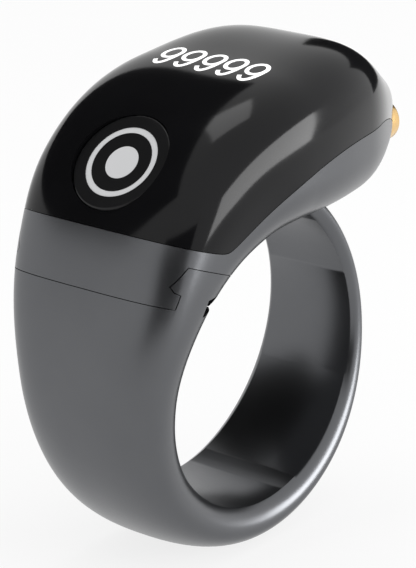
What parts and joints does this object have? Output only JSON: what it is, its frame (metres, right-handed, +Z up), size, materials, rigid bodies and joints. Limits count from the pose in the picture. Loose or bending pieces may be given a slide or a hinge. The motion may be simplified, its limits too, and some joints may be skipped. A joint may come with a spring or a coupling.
{
  "type": "electronic finger-ring tally counter",
  "caption": "Finger-ring tally counter with a domed display head, a round count button, a side push button and a slide-off band.",
  "frame": {"origin": "centre of the finger bore, midway between the ring's two side faces", "axes": "+X along the head towards the side button's nose, +Y along the finger away from the viewed side, +Z up through the display"},
  "size_m": [0.033, 0.0166, 0.0326],
  "materials": {
    "grey_metal": "satin dark grey coating",
    "black_lens": "polished black",
    "button_black": "semi-gloss black",
    "white_mark": "white inlay",
    "spring_steel": "plain steel",
    "switch_metal": "plain steel",
    "circuit_board": "green solder mask",
    "flex_film": "amber film",
    "gold_metal": "gold plate",
    "black_rubber": "matt rubber",
    "chip_black": "moulded black",
    "capacitor": "fired ceramic",
    "battery_foil": "foil pouch",
    "red_lead": "insulated wire",
    "display_glass": "polished dark panel",
    "frame_plastic": "moulded black",
    "cover_grey": "moulded dark grey",
    "magnet": "nickel plate"
  },
  "bodies": {
    "head": {"head_housing": "grey_metal", "display_lens": "black_lens", "button_spring": "spring_steel", "count_switch": "switch_metal", "switch_carrier": "circuit_board", "switch_flex": "flex_film", "side_button_spring": "spring_steel", "side_switch": "switch_metal", "side_switch_board": "circuit_board", "main_board": "circuit_board", "processor_chip": "chip_black", "charge_chip": "chip_black", "board_capacitors": "capacitor", "battery": "battery_foil", "battery_pad": "black_rubber", "battery_leads": "red_lead", "display_module": "display_glass", "display_digits": "white_mark", "display_frame": "frame_plastic", "display_flex": "flex_film", "vibration_motor": "switch_metal", "base_cover": "cover_grey", "base_gasket": "black_rubber", "cover_screws": "spring_steel", "charge_contacts": "gold_metal", "charge_magnets": "magnet"},
    "count_key": {"count_button": "button_black", "button_ring_mark": "white_mark", "button_dot_mark": "white_mark"},
    "side_key": {"side_button": "gold_metal", "side_button_seal": "black_rubber", "side_button_clip": "spring_steel"},
    "band": {"finger_band": "grey_metal"}
  },
  "joints": [
    {"name": "count_press", "type": "slide", "parent": "head", "child": "count_key", "axis": [0.7046, 0, -0.7096], "range_m": [0, 0.0003], "stiffness_N_per_m": 1500, "springref_m": -0.0003, "deforming": ["button_spring"]},
    {"name": "side_press", "type": "slide", "parent": "head", "child": "side_key", "axis": [-1, 0, 0], "range_m": [0, 0.0004], "stiffness_N_per_m": 1200, "springref_m": -0.0003, "deforming": ["side_button_spring"]},
    {"name": "band_slide", "type": "slide", "parent": "head", "child": "band", "axis": [0, 1, 0], "range_m": [0, 0.017]}
  ]
}
